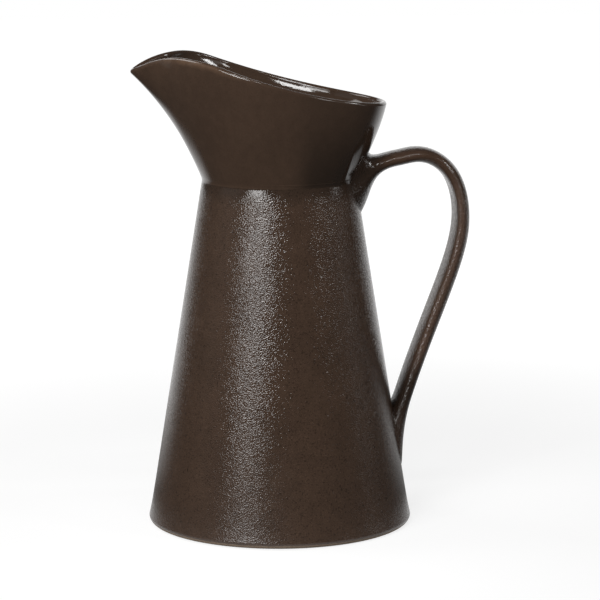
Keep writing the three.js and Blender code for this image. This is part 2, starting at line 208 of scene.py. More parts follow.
COLLAR_INSIDE_GRAIN, COLLAR_INSIDE_UNEVEN = (0, 1, 0.2, 0.15), (0, 1, 0.8, 0.1)
COLLAR_ROUGHNESS, COLLAR_INSIDE_GLOSS = (*PITS, 0.12, 0.08), (0, 1, 1.0, 0.8)
TAN_FRAY_REACH, TAN_SHOWS = 0.9, (0.25, 1.15, 0, 0.75)
TAN_REACH = 2  # millimetres that the tan runs down from the rim
TAN_CENTRE, TAN_SPREAD = math.radians(36), math.radians(34)  # and where round the lip it shows
TAN_ON_CROWN = 0.2  # on the top of the rim, of 1 at its outer edge
SHADE_TURN = (math.radians(70), math.radians(92))  # angles from the handle where the collar's painted shade fades out
SHADE_HEIGHT, SHADE_SHARE = (170, 200), (0.68, 0.24)  # and how dark the painted shade is, low and high on the collar

STRAP_HANGS = (0.170, 0.150)  # heights between which the strap turns down from its crest
STRAP_GRAIN, STRAP_ROUGHNESS = (0, 1, 0.7, 2.0), (0, 1, 0.13, 0.22)  # on the crest and where it hangs
STRAP_PITTED = (*PITS, 1.2, 0.8)
SHEEN_SHOWS = (0.3, 0.65, 0.4, 1.0)  # painted sheen, in patches along the edges
# Marks on the handle, each between two values; heights and distances in millimetres.
SHEEN_EDGE = (0.7, 0.98)  # squared share of the half width
SHEEN_BELOW_CREST, SHEEN_ABOVE_TAIL = (172, 154), (66, 84)
# painted shade round the roots, where they lie in shade under the strap and beside the body
UPPER_SHADE_OUT, UPPER_SHADE_HEIGHT = (54, 44), (135, 145)
LOWER_SHADE_HEIGHT, LOWER_SHADE_FADES, LOWER_SHADE_LEAST = (84, 64), (42, 58), 0.25
HANDLE_SHADE = 0.65

# --- Stage, light and camera: metres and radians ---

TABLE_HALF, TABLE_LEVEL = 6, -0.0002
BACKDROP_LEFT, BACKDROP_RIGHT, BACKDROP_BACK, BACKDROP_TOP = -1.8, 3.2, 3.4, 1.5
TABLE_GREY = (0.08, 0.25, 0.28, 0.22)  # spread over the distance from the jug
TABLE_GLOW = (0.15, 0.7, 0.78, 1.0)
# What the glaze mirrors of the table: a white sweep behind the jug, between two bearings from +X, that
# sets in away from the jug and fades to the sides, and a white patch round the foot.
SWEEP_LEFT, SWEEP_RIGHT = (2.55, 2.15), (0.26, 0.84)
SWEEP_SETS_IN = (0.22, 0.5, 0.35, 1.0)
SWEEP_MIDDLE, SWEEP_FADES = 0.2, (1.7, 0.6)
FOOT_PATCH = (0.12, 0.07, 0, 0.9)
TABLE_LEAST = 0.05  # elsewhere
SKY_DIFFUSE, SKY_IN_GLAZE = 0.08, 0.05
WHITE = (1, 1, 1, 1)

# Lamps: name, azimuth and elevation in degrees, distance, width, height, radiance.
LAMPS = (
    ("left softbox", -129, 17, 1.2, 0.42, 0.42, 9.5),
    ("left spot", -113, 30, 1.2, 0.36, 0.26, 19.0),
    ("right softbox", -6, 29, 1.2, 0.16, 0.22, 17.0),
    ("mouth spot", -35, 26, 1.2, 0.14, 0.2, 11.0),
    ("right fill", -20, 24, 1.2, 0.6, 0.2, 0.8),
    ("left fill", -170, 18, 1.3, 0.9, 0.7, 0.22),
    ("rear softbox", 155, 42, 1.3, 0.8, 0.5, 4.0),
    ("right strip", -5, 5, 1.2, 0.1, 0.2, 3.0),
    ("top strip", -84, 66, 1.2, 0.5, 0.06, 24.0),
)
LAMP_AIM = (0, 0, 0.12)

CAMERA_DISTANCE, CAMERA_HEIGHT = 1.35, 0.33744
CAMERA_PITCH, CAMERA_ROLL, CAMERA_YAW = (math.radians(v) for v in (9.6933, -0.0763, 0.4215))
CAMERA_TURN = math.radians(6.4)  # round the jug
FOCAL_PIXELS, FRAME_PIXELS, SENSOR_WIDTH = 2858.01, 600, 36
CLIP_START, CLIP_END = 0.05, 30


def lerp(a, b, share):
    return a + (b - a) * share


def smoothstep(value, low, high):
    share = np.clip((value - low) / (high - low), 0, 1)
    return share * share * (3 - 2 * share)


def arc(centre_radius, centre_height, radius, start, end, steps):
    turns = np.linspace(start, end, steps + 1)
    return [(centre_radius + radius * math.cos(t), centre_height + radius * math.sin(t)) for t in turns]


def bezier(controls, shares):
    a, b, c, d = (np.asarray(p, float) for p in controls)
    s = shares[:, None]
    return (1 - s) ** 3 * a + 3 * s * (1 - s) ** 2 * b + 3 * s ** 2 * (1 - s) * c + s ** 3 * d


def placed(name, data):
    obj = bpy.data.objects.new(name, data)
    bpy.context.scene.collection.objects.link(obj)
    return obj


# --- Node trees ---

class Nodes:
    """Shorthand for adding nodes to one tree."""

    def __init__(self, tree):
        self.tree = tree

    def add(self, kind, settings=None, **inputs):
        node = self.tree.nodes.new(kind)
        for key, value in (settings or {}).items():
            setattr(node, key, value)
        for key, value in inputs.items():
            self.feed(node.inputs[key.replace("_", " ")], value)
        return node

    def feed(self, socket, value):
        if isinstance(value, bpy.types.NodeSocket):
            self.tree.links.new(value, socket)
        else:
            socket.default_value = value

    def math(self, operation, *values):
        node = self.add("ShaderNodeMath", {"operation": operation})
        for socket, value in zip(node.inputs, values):
            self.feed(socket, value)
        return node.outputs[0]

    def product(self, first, *others):
        for other in others:
            first = self.math("MULTIPLY", first, other)
        return first

    def spread(self, value, low, high, to_low=0.0, to_high=1.0, smooth=True):
        node = self.add("ShaderNodeMapRange", {"interpolation_type": "SMOOTHSTEP" if smooth else "LINEAR"})
        for key, part in (("Value", value), ("From Min", low), ("From Max", high),
                          ("To Min", to_low), ("To Max", to_high)):
            self.feed(node.inputs[key], part)
        return node.outputs["Result"]

    def mix(self, share, first, second):
        node = self.add("ShaderNodeMix", {"data_type": "RGBA"})
        self.feed(node.inputs[0], share)
        self.feed(node.inputs[6], first)
        self.feed(node.inputs[7], second)
        return node.outputs[2]

    def noise(self, vector, scale, detail, rough):
        node = self.add("ShaderNodeTexNoise", Vector=vector, Scale=scale, Detail=detail, Roughness=rough)
        return node.outputs["Fac"]


def new_tree(name, kind, inputs, outputs):
    """A node group with named sockets: its tree, its input identifiers, its nodes and its two ends."""
    tree = bpy.data.node_groups.new(name, kind)
    identifiers = {}
    for label, socket_kind, value in inputs:
        socket = tree.interface.new_socket(label, in_out="INPUT", socket_type=socket_kind)
        if value is not None:
            socket.default_value = value
        identifiers[label] = socket.identifier
    for label, socket_kind in outputs:
        tree.interface.new_socket(label, in_out="OUTPUT", socket_type=socket_kind)
    given = tree.nodes.new("NodeGroupInput")
    out = tree.nodes.new("NodeGroupOutput")
    return tree, identifiers, Nodes(tree), given.outputs, out.inputs


# --- Geometry Nodes ---

def shape_tree(name, sizes):
    """A tree that takes a drawn curve, the named sizes and a glaze, and gives a mesh."""
    inputs = [("Drawn Curve", "NodeSocketGeometry", None), *sizes, ("Glaze", "NodeSocketMaterial", None)]
    parts = new_tree(name, "GeometryNodeTree", inputs, [("Mesh", "NodeSocketGeometry")])
    parts[0].is_modifier = True
    return parts


def finish_shape(n, geometry, glaze, out):
    """Every shape ends the same way: smooth, realised, with its glaze."""
    smooth = n.add("GeometryNodeSetShadeSmooth", Geometry=geometry)
    realise = n.add("GeometryNodeRealizeInstances", Geometry=smooth.outputs["Geometry"])
    glazed = n.add("GeometryNodeSetMaterial", Geometry=realise.outputs["Geometry"], Material=glaze)
    n.feed(out["Mesh"], glazed.outputs["Geometry"])


def drawn_curve(name, points):
    """A poly curve through points in millimetres, as a curve object in metres."""
    data = bpy.data.curves.new(name, "CURVE")
    data.dimensions = "3D"
    spline = data.splines.new("POLY")
    spline.points.add(len(points) - 1)
    for i, point in enumerate(points):
        spline.points[i].co = (*(c * MM for c in point), 1)
    return placed(name, data)


def grown_mesh(curve, tree, values):
    """Runs a tree on a drawn curve and returns the result as a plain mesh."""
    modifier = curve.modifiers.new(tree.name, "NODES")
    modifier.node_group = tree
    for identifier, value in values.items():
        modifier[identifier] = value
    evaluated = curve.evaluated_get(bpy.context.evaluated_depsgraph_get())
    mesh = bpy.data.meshes.new_from_object(evaluated)
    curve.modifiers.remove(modifier)
    data = curve.data
    bpy.data.objects.remove(curve)
    bpy.data.curves.remove(data)
    return mesh


def turned_tree():
    """Turns a half section, drawn as (distance from the axis, height), round the upright axis."""
    tree, sockets, n, given, out = shape_tree("turned on the wheel", [
        ("Segments", "NodeSocketInt", 64),
        ("Axis Radius", "NodeSocketFloat", 0.001),
        ("Merge Distance", "NodeSocketFloat", 1e-6),
    ])
    circle = n.add("GeometryNodeCurvePrimitiveCircle", Resolution=given["Segments"],
                   Radius=given["Axis Radius"])
    sweep = n.add("GeometryNodeCurveToMesh", Curve=circle.outputs["Curve"],
                  Profile_Curve=given["Drawn Curve"])
    merge = n.add("GeometryNodeMergeByDistance", Geometry=sweep.outputs["Mesh"],
                  Distance=given["Merge Distance"])
    finish_shape(n, merge.outputs["Geometry"], given["Glaze"], out)
    return tree, sockets


def strap_tree():
    """Pulls a rounded strap section along a drawn line."""
    tree, sockets, n, given, out = shape_tree("pulled strap", [
        ("Section Points", "NodeSocketInt", 48),
        ("Width", "NodeSocketFloat", 0.02),
        ("Thickness", "NodeSocketFloat", 0.007),
        ("Roundness", "NodeSocketFloat", 0.8),
    ])
    circle = n.add("GeometryNodeCurvePrimitiveCircle", Resolution=given["Section Points"], Radius=1)
    split = n.add("ShaderNodeSeparateXYZ", Vector=n.add("GeometryNodeInputPosition").outputs["Position"])
    join = n.add("ShaderNodeCombineXYZ")
    for axis, size in (("X", "Width"), ("Y", "Thickness")):
        side = split.outputs[axis]
        rounded = n.math("POWER", n.math("ABSOLUTE", side), given["Roundness"])
        signed = n.product(n.math("SIGN", side), rounded)
        half = n.product(given[size], 0.5)
        n.feed(join.inputs[axis], n.product(signed, half))
    shape = n.add("GeometryNodeSetPosition", Geometry=circle.outputs["Curve"], Position=join.outputs[0])
    sweep = n.add("GeometryNodeCurveToMesh", Curve=given["Drawn Curve"],
                  Profile_Curve=shape.outputs["Geometry"])
    finish_shape(n, sweep.outputs["Mesh"], given["Glaze"], out)
    return tree, sockets


# --- Glaze materials ---

def glaze_colour_group():
    """Brown glaze: cloudy where it ran thicker or thinner, and finely speckled with iron."""
    tree, _, n, given, out = new_tree(
        "glaze colour", "ShaderNodeTree",
        [("Place", "NodeSocketVector", None), ("Glaze", "NodeSocketColor", BODY_BROWN),
         ("Clouding", "NodeSocketFloat", 0.2), ("Speckle", "NodeSocketFloat", 0.3)],
        [("Colour", "NodeSocketColor")])
    clouds = n.noise(given["Place"], *CLOUDS)
    patches = n.noise(given["Place"], *PATCHES)
    thickness = n.math("ADD", n.product(clouds, CLOUD_SHARE), n.product(patches, PATCH_SHARE))
    cloud = n.spread(thickness, *CLOUD_RANGE)
    pale_specks = n.spread(n.noise(given["Place"], *PALE_SPECKS), *PALE_SHOWS)
    dark_specks = n.spread(n.noise(given["Place"], *DARK_SPECKS), *DARK_SHOWS)
    level = n.math("ADD", 1, n.product(cloud, given["Clouding"]))
    level = n.math("ADD", level, n.product(pale_specks, given["Speckle"]))
    level = n.math("SUBTRACT", level, n.product(dark_specks, given["Speckle"]))
    scale = n.add("ShaderNodeVectorMath", {"operation": "SCALE"})
    n.feed(scale.inputs[0], given["Glaze"])
    n.feed(scale.inputs["Scale"], level)
    n.feed(out["Colour"], scale.outputs[0])
    return tree


def glaze_grain_group():
    """Surface of the fired glaze: a fine pitted grain, a coarser one under it, and a slow unevenness."""
    tree, _, n, given, out = new_tree(
        "glaze grain", "ShaderNodeTree",
        [("Place", "NodeSocketVector", None), ("Grain", "NodeSocketFloat", 1.0),
         ("Unevenness", "NodeSocketFloat", 1.0), ("Per Metre", "NodeSocketFloat", 900.0)],
        [("Height", "NodeSocketFloat"), ("Pits", "NodeSocketFloat")])
    fine = n.noise(given["Place"], given["Per Metre"], *FINE_GRAIN)
    coarse = n.noise(given["Place"], n.product(given["Per Metre"], COARSE_SCALE), *COARSE_GRAIN)
    slow = n.noise(given["Place"], *SLOW_WALL)
    grain = n.math("ADD", fine, n.product(coarse, COARSE_SHARE))
    n.feed(out["Height"], n.math("ADD", n.product(grain, given["Grain"]),
                                 n.product(slow, given["Unevenness"])))
    n.feed(out["Pits"], fine)
    return tree


GLAZE_COLOUR = glaze_colour_group()
GLAZE_GRAIN = glaze_grain_group()


def empty_material(name):
    material = bpy.data.materials.new(name)
    material.use_nodes = True
    material.node_tree.nodes.clear()
    return material, Nodes(material.node_tree)


def glaze_material(name):
    material, n = empty_material(name)
    out = n.add("ShaderNodeOutputMaterial")
    shader = n.add("ShaderNodeBsdfPrincipled")
    shader.inputs["IOR"].default_value = GLAZE_IOR
    n.feed(out.inputs["Surface"], shader.outputs["BSDF"])
    place = n.add("ShaderNodeTexCoord").outputs["Object"]
    height_above = n.add("ShaderNodeSeparateXYZ", Vector=place).outputs["Z"]
    return material, n, shader.inputs, place, height_above


def colour_of(n, place, glaze, clouding, speckle):
    node = n.add("ShaderNodeGroup", {"node_tree": GLAZE_COLOUR},
                 Place=place, Glaze=glaze, Clouding=clouding, Speckle=speckle)
    return node.outputs["Colour"]


def grain_of(n, place, grain, unevenness, per_metre):
    node = n.add("ShaderNodeGroup", {"node_tree": GLAZE_GRAIN},
                 Place=place, Grain=grain, Unevenness=unevenness, Per_Metre=per_metre)
    return node.outputs["Height"], node.outputs["Pits"]


def roughen(n, surface, height, depth):
    """Lets a grain's height turn the surface by up to a depth in metres."""
    bump = n.add("ShaderNodeBump", Height=height, Strength=1.0, Distance=depth)
    n.feed(surface["Normal"], bump.outputs["Normal"])


def attribute(n, name):
    return n.add("ShaderNodeAttribute", {"attribute_name": name}).outputs["Fac"]


def fray(n, place, noise, reach):
    """Noise about zero that frays an edge."""
    return n.product(n.math("SUBTRACT", n.noise(place, *noise), 0.5), reach)


def body_glaze():
    """Pitted glaze on the cone, smoother at the waist and darkened there with painted shade under the
    collar, dull at the foot, glossy inside; bare underneath.
    """
    material, n, surface, place, height_above = glaze_material("body glaze")
    per_metre, depth = BODY_GRAIN
    inside = attribute(n, "inside")
    clay_line = n.math("ADD", height_above, fray(n, place, CLAY_FRAY, CLAY_FRAY_REACH))
    bare = n.spread(clay_line, *CLAY_EDGE)
    colour = colour_of(n, place, BODY_BROWN, *BODY_MOTTLE)
    # painted shade: the cone darkens towards the waist, in the shade under the collar
    colour = n.mix(n.spread(height_above, *WAIST_PAINTED_SHADE), colour, PAINTED_SHADE_BROWN)
    n.feed(surface["Base Color"], n.mix(bare, colour, BARE_CLAY))
    strength = n.product(n.spread(height_above, *WAIST_SMOOTHS), n.spread(height_above, *FOOT_SMOOTHS),
                         n.spread(inside, *BODY_INSIDE_GRAIN))
    grain, pits = grain_of(n, place, strength, BODY_UNEVENNESS, per_metre)
    dull = n.math("ADD", n.spread(pits, *BODY_ROUGHNESS), n.spread(height_above, *FOOT_DULLS))
    dull = n.product(dull, n.spread(inside, *BODY_INSIDE_GLOSS))
    n.feed(surface["Roughness"], n.math("MAXIMUM", dull, n.product(bare, CLAY_ROUGHNESS)))
    roughen(n, surface, grain, depth)
    return material


def collar_glaze():
    """Smooth glaze, with painted shade low on the collar towards the handle, and tan along the rim where
    the glaze drew thin, partly a painted highlight.
    """
    material, n, surface, place, _ = glaze_material("collar glaze")
    per_metre, depth = COLLAR_GRAIN
    inside = attribute(n, "inside")
    # tan at the rim: glaze drawn thin, partly a painted highlight where the rim catches warm light
    tan_and_glow = n.math("ADD", attribute(n, "crown"), fray(n, place, TAN_FRAY, TAN_FRAY_REACH))
    colour = colour_of(n, place, COLLAR_BROWN, *COLLAR_MOTTLE)
    # painted shade, low on the collar towards the handle
    colour = n.mix(attribute(n, "painted_shade"), colour, PAINTED_SHADE_BROWN)
    n.feed(surface["Base Color"], n.mix(n.spread(tan_and_glow, *TAN_SHOWS), colour, RIM_TAN_AND_GLOW))
    grain, pits = grain_of(n, place, n.spread(inside, *COLLAR_INSIDE_GRAIN),
                           n.spread(inside, *COLLAR_INSIDE_UNEVEN), per_metre)
    dull = n.product(n.spread(pits, *COLLAR_ROUGHNESS), n.spread(inside, *COLLAR_INSIDE_GLOSS))
    n.feed(surface["Roughness"], dull)
    roughen(n, surface, grain, depth)
    return material


def handle_glaze():
    """Glaze that is smooth on the strap's crest and pitted where it hangs, with a painted sheen along its
    edges and painted shade round its roots.
    """
    material, n, surface, place, height_above = glaze_material("handle glaze")
    per_metre, depth = HANDLE_GRAIN
    # painted sheen along the strap's edges, standing in for the highlight there
    patches = n.spread(n.noise(place, *SHEEN_FRAY), *SHEEN_SHOWS)
    colour = colour_of(n, place, HANDLE_BROWN, *HANDLE_MOTTLE)
    colour = n.mix(n.product(attribute(n, "edge"), patches), colour, STRAP_SHEEN_BROWN)
    # painted shade round the roots
    n.feed(surface["Base Color"], n.mix(attribute(n, "painted_shade"), colour, PAINTED_SHADE_BROWN))
    hang = n.spread(height_above, *STRAP_HANGS)
    grain, pits = grain_of(n, place, n.spread(hang, *STRAP_GRAIN), HANDLE_UNEVENNESS, per_metre)
    dull = n.product(n.spread(pits, *STRAP_PITTED), n.spread(hang, *STRAP_ROUGHNESS))
    n.feed(surface["Roughness"], dull)
    roughen(n, surface, grain, depth)
    return material


# --- Meshes and pieces ---

def set_attribute(mesh, name, values):
    layer = mesh.attributes.new(name, "FLOAT", "POINT")
    layer.data.foreach_set("value", np.asarray(values, np.float32))


def points_of(mesh):
    flat = np.zeros(len(mesh.vertices) * 3, np.float32)
    mesh.vertices.foreach_get("co", flat)
    return flat.reshape(-1, 3).astype(float)


def volume_of(mesh):
    mesh.calc_loop_triangles()
    corners = np.zeros(len(mesh.loop_triangles) * 3, np.int32)
    mesh.loop_triangles.foreach_get("vertices", corners)
    a, b, c = points_of(mesh)[corners.reshape(-1, 3)].transpose(1, 0, 2)
    return float((np.cross(a, b) * c).sum() / 6)


def new_piece(name, mesh, *nodes):
    """A finished piece at the origin, riding on the jug and standing for its solids."""
    if volume_of(mesh) < 0:
        mesh.flip_normals()
    mesh.set_sharp_from_angle(angle=SHARP_ANGLE)
    obj = placed(name, mesh)
    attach(obj, "root")
    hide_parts(*nodes)


def closed_loft(rings):
    """Faces over equal rings, with the last ring joined to the first."""
    count = len(rings[0])
    faces = []
    for i in range(len(rings)):
        here, there = i * count, ((i + 1) % len(rings)) * count
        for j in range(count):
            k = (j + 1) % count
            faces.append((here + j, here + k, there + k, there + j))
    return faces


# --- Turned body ---

def body_radius(height):
    return BASE_RADIUS - math.tan(cone_lean) * height + FOOT_FLARE * np.exp(-height / FOOT_FLARE_RISE)


def body_half_section():
    """Half section of the body: underside, heel, outer cone, waist, inner wall, cove and floor."""
    heel_centre = float(body_radius(HEEL_RADIUS)) - HEEL_RADIUS
    outside = [(0, 0), *((heel_centre * s, 0) for s in UNDERSIDE_RINGS), (heel_centre - HEEL_LEAD, 0)]
    outside += arc(heel_centre, HEEL_RADIUS, HEEL_RADIUS, -math.pi / 2, 0, HEEL_STEPS)
    tangent_height = WAIST_HEIGHT + CREASE_RADIUS * math.sin(math.pi + cone_lean)
    heights = np.concatenate([
        HEEL_RADIUS + FOOT_FLARE_RISE * np.array(FOOT_LEVELS),
        np.linspace(HEEL_RADIUS + FOOT_FLARE_RISE * CONE_START, tangent_height - CONE_END_GAP, CONE_ROWS)])
    outside += [(float(body_radius(h)), float(h)) for h in heights]
    outside += arc(crease_centre, WAIST_HEIGHT, CREASE_RADIUS, math.pi + cone_lean, math.pi, WAIST_STEPS)

    inner_top = WAIST_RADIUS - WAIST_WALL
    inner_foot = float(body_radius(BASE_THICKNESS)) - FOOT_WALL
    inner_lean = math.atan((inner_foot - inner_top) / (WAIST_HEIGHT - BASE_THICKNESS))
    cove_height = BASE_THICKNESS + COVE_RADIUS * math.cos(COVE_MEETING_ANGLE)
    cove_centre = (inner_foot - math.tan(inner_lean) * (cove_height - BASE_THICKNESS)
                   - COVE_RADIUS / math.cos(inner_lean))
    cove = arc(cove_centre, cove_height, COVE_RADIUS, inner_lean, COVE_MEETING_ANGLE - math.pi / 2,
               COVE_STEPS)
    top = (inner_top, WAIST_HEIGHT)
    wall = [(lerp(top[0], cove[0][0], s), lerp(top[1], cove[0][1], s))
            for s in np.linspace(INNER_WALL_END, 1 - INNER_WALL_END, INNER_WALL_ROWS)]
    floor = [(cove[-1][0] * s, BASE_THICKNESS) for s in FLOOR_RINGS]
    return outside + [top] + wall + cove + floor


def make_body():
    tree, sockets = turned_tree()
    section = [(radius - AXIS_RADIUS, -height, 0) for radius, height in body_half_section()]
    mesh = grown_mesh(drawn_curve("half section", section), tree, {
        sockets["Segments"]: BODY_SEGMENTS,
        sockets["Axis Radius"]: AXIS_RADIUS * MM,
        sockets["Merge Distance"]: MERGE_DISTANCE,
        sockets["Glaze"]: body_glaze(),
    })
    mesh.name = "turned_body"
    points = points_of(mesh)
    radius = np.hypot(points[:, 0], points[:, 1]) / MM
    height = points[:, 2] / MM
    wall_middle = np.interp(height, [BASE_THICKNESS, WAIST_HEIGHT],
                            [float(body_radius(BASE_THICKNESS)) - FOOT_WALL / 2,
                             WAIST_RADIUS - WAIST_WALL / 2])
    under_floor = height < BASE_THICKNESS - FLOOR_TOLERANCE
    set_attribute(mesh, "inside", radius < np.where(under_floor, 0, wall_middle))
    new_piece("turned_body", mesh, "base", "body_wall")


# --- Collar with its pouring lip; its angles are measured from the lip ---

def lip_share(angle, spread=LIP_SPREAD):
    return np.exp(-np.abs(angle / spread) ** LIP_POINT)


def rim_oval(angle):
    back = RIM_BACK_REACH - RIM_HALF_WIDTH + RIM_SHIFT
    return RIM_HALF_WIDTH + RIM_SHIFT * math.cos(angle) + back * max(0, -math.cos(angle)) ** 2


def rim_reach(angle):
    return rim_oval(angle) + (LIP_REACH - rim_oval(0)) * lip_share(angle)


def rim_centre(angle):
    radius = rim_reach(angle) - COLLAR_WALL / 2
    along = radius * math.cos(angle)
    droop = max(0, (along - LIP_DROOP_START) / (LIP_REACH - LIP_DROOP_START))
    crown = (RIM_SIDE_HEIGHT + RIM_PITCH * along + RIM_DISH * along ** 2
             - LIP_DROOP * droop ** LIP_DROOP_POWER)
    return radius, WAIST_HEIGHT + crown - RIM_EDGE / 2


def collar_section(angle):
    """The collar's wall at an angle, finely stepped from the waist to the rim.

    Gives the outer side, the outward normals, the wall and the distance climbed, each row by row.
    """
    angle = (angle + math.pi) % (2 * math.pi) - math.pi
    rim_radius, rim_height = rim_centre(angle)
    crease_middle = CREASE_RADIUS + WAIST_WALL / 2
    share = COLLAR_FULLNESS - LIP_FLARE * lip_share(angle)
    run = rim_radius - (crease_centre - crease_middle)
    lean = math.atan2(share * run, COLLAR_BELLY_HEIGHT * (rim_height - WAIST_HEIGHT))
    crease = np.array(arc(crease_centre, WAIST_HEIGHT, crease_middle, math.pi, math.pi - lean,
                          CREASE_STEPS))
    start = crease[-1]
    rise = COLLAR_BELLY_HEIGHT * (rim_height - start[1])
    turn = start + np.array([math.tan(lean) * rise, rise])
    end = np.array([rim_radius, rim_height])
    s = np.linspace(0, 1, FLANK_STEPS + 1)[:, None]
    flank = (1 - s) ** 2 * start + 2 * s * (1 - s) * turn + s ** 2 * end
    fuller = (lip_share(angle, THROAT_SPREAD) - lip_share(angle)) * (LIP_REACH - rim_oval(0))
    flank[:, 0] += fuller * (s ** 2 * (1 - s ** 2))[:, 0]
    points = np.concatenate([crease[:-1], flank])
    travel = np.gradient(points, axis=0)
    travel[0] = (0, 1)
    travel /= np.linalg.norm(travel, axis=1)[:, None]
    normals = np.stack([travel[:, 1], -travel[:, 0]], 1)
    climbs = np.concatenate([np.zeros(CREASE_STEPS), s[:, 0]])
    walls = lerp(WAIST_WALL, COLLAR_WALL, climbs)
    outer = points + normals * walls[:, None] / 2
    climbed = np.concatenate([[0], np.cumsum(np.linalg.norm(np.diff(outer, axis=0), axis=1))])
    return outer, normals, walls, climbed


def rows_at(levels, climbed, rows):
    """Rows of a section, read at the given distances up its wall."""
    return np.stack([np.interp(levels, climbed, column) for column in np.atleast_2d(rows.T)], -1)


def thumb_groove(from_handle, height):
    side = min(1, max(0, (GROOVE_FROM - from_handle) / (GROOVE_FROM - GROOVE_TO)))
    under = min(1, max(0, (from_handle - GROOVE_BACK) / (GROOVE_TO - GROOVE_BACK)))
    start, full, fade, end = GROOVE_RISE
    rise = smoothstep(height, start, full) * smoothstep(height, end, fade)
    return GROOVE_DEPTH * side * (2 - side) * under * rise


def collar_loop(angle):
    """Closed section of the collar: up the inside, over the rim and down the outside.

    With it come three marks for its glaze, point by point: tan at the rim, partly a painted highlight,
    inside, and painted shade.
    """
    side, side_normals, side_walls, climbed = collar_section(angle)
    length = climbed[-1]
    from_handle = abs(math.pi - angle % (2 * math.pi))

    join = JOIN_CLIMB + JOIN_HALF_WIDTH * np.linspace(-2, 2, JOIN_ROWS)
    below = np.linspace(0, join[0], BELOW_JOIN_ROWS + 1)[:-1]
    above = join[-1] + (length - join[-1]) * np.linspace(0, 1, FLANK_ROWS + 1)[1:]
    levels = np.concatenate([below, join, above])
    ledge = (smoothstep(levels, 0, JOIN_CLIMB)
             * smoothstep(levels, JOIN_CLIMB + JOIN_HALF_WIDTH, JOIN_CLIMB - JOIN_HALF_WIDTH))
    outer = rows_at(levels, climbed, side)
    sunk = thumb_groove(from_handle, outer[:, 1])
    proud = JOIN_LEDGE * (1 - smoothstep(from_handle, *JOIN_FADES))
    outer += rows_at(levels, climbed, side_normals) * (proud * ledge - sunk)[:, None]

    levels = length * (1 - np.linspace(1, 0, INNER_ROWS) ** INNER_CROWDING)
    normals = rows_at(levels, climbed, side_normals)
    walls = rows_at(levels, climbed, side_walls)
    thinned = lerp(RIM_EDGE, walls, smoothstep((length - levels)[:, None], 0, RIM_TAPER))
    inner = rows_at(levels, climbed, side) - normals * thinned

    normal = normals[-1]
    tangent = np.array([-normal[1], normal[0]])
    sweep = np.pi * np.arange(CROWN_STEPS - 1, 0, -1)[:, None] / CROWN_STEPS
    top = outer[-1] - normal * RIM_EDGE / 2
    crown = top + (np.cos(sweep) * normal + np.sin(sweep) * tangent) * RIM_EDGE / 2
    loop = np.concatenate([inner, crown, outer[::-1]])

    crown_top, crown_end = len(inner) + len(crown) // 2, len(inner) + len(crown)
    # tan at the rim, on one side of the lip: glaze drawn thin, partly a painted highlight
    tan = np.zeros(len(loop))
    tan[crown_top:crown_end] = np.linspace(TAN_ON_CROWN, 1, crown_end - crown_top)
    tan[crown_end:] = np.exp(-(np.linalg.norm(outer[::-1] - outer[-1], axis=1) / TAN_REACH) ** 2)
    tan *= np.exp(-((angle - TAN_CENTRE) / TAN_SPREAD) ** 2)
    inside = np.zeros(len(loop))
    inside[:crown_top] = 1
    # painted shade, low on the collar towards the handle
    shade_depth = lerp(*SHADE_SHARE, smoothstep(loop[:, 1], *SHADE_HEIGHT))
    painted_shade = (1 - smoothstep(from_handle, *SHADE_TURN)) * shade_depth * (1 - inside)
    ring = np.stack([-loop[:, 0] * math.cos(angle), -loop[:, 0] * math.sin(angle), loop[:, 1]], -1)
    return ring, (tan, inside, painted_shade)


def make_collar():
    rings, marks = [], []
    for i in range(COLLAR_SEGMENTS):
        turn = 2 * math.pi * i / COLLAR_SEGMENTS
        ring, ring_marks = collar_loop(turn - LIP_CROWDING * math.sin(turn))
        rings.append(ring)
        marks.append(ring_marks)
    mesh = bpy.data.meshes.new("flared_collar")
    mesh.from_pydata(np.concatenate(rings) * MM, [], closed_loft(rings))
    mesh.shade_smooth()
    mesh.materials.append(collar_glaze())
    for name, values in zip(("crown", "inside", "painted_shade"), zip(*marks)):
        set_attribute(mesh, name, np.concatenate(values))
    new_piece("flared_collar", mesh, "collar")


# --- Handle with its two roots; their angles are measured from the handle ---

def wall_point(turn, height, out=0.0):
    """A point on the outside of the jug, or at a distance off it."""
    if height < WAIST_HEIGHT:
        tangent_height = WAIST_HEIGHT - CREASE_RADIUS * math.sin(cone_lean)
        if height > tangent_height:
            radius = crease_centre - math.sqrt(CREASE_RADIUS ** 2 - (WAIST_HEIGHT - height) ** 2)
        else:
            radius = float(body_radius(height))
    else:
        outer = collar_section(math.pi + turn)[0]
        radius = float(np.interp(height, outer[:, 1], outer[:, 0]))
    radius += out
    return np.array([radius * math.cos(turn), radius * math.sin(turn), height])


def strap_line():
    """Centre line of the strap as (distance from the axis, height)."""
    neck = np.array([WAIST_RADIUS + NECK_OUT, WAIST_HEIGHT + NECK_RISE])
    crest = np.array([WAIST_RADIUS + CREST_OUT, WAIST_HEIGHT + CREST_RISE])
    bend_height = WAIST_HEIGHT - BEND_DROP
    bend = np.array([float(body_radius(bend_height)) + FINGER_GAP + STRAP_THICKNESS / 2, bend_height])
    tail = np.array([float(body_radius(TAIL_HEIGHT)) + TAIL_OUT, TAIL_HEIGHT])
    fall = bend[1] - tail[1]
    curves = [
        (neck, lerp(neck, crest, 1 / 3), (lerp(crest[0], neck[0], 1 / 3), crest[1]), crest),
        (crest, (lerp(crest[0], bend[0], BEND_FULLNESS), crest[1]),
         (bend[0], lerp(bend[1], crest[1], BEND_FULLNESS)), bend),
        (bend, (bend[0], bend[1] - BEND_EASE * fall),
         (tail[0] + TAIL_EASE * fall * TAIL_LEAN, tail[1] + TAIL_EASE * fall), tail),
    ]
    parts = [bezier(c, np.linspace(0, 1, n + 1)[:-1]) for c, n in zip(curves, STRAP_STEPS)]
    return np.concatenate(parts + [tail[None]])


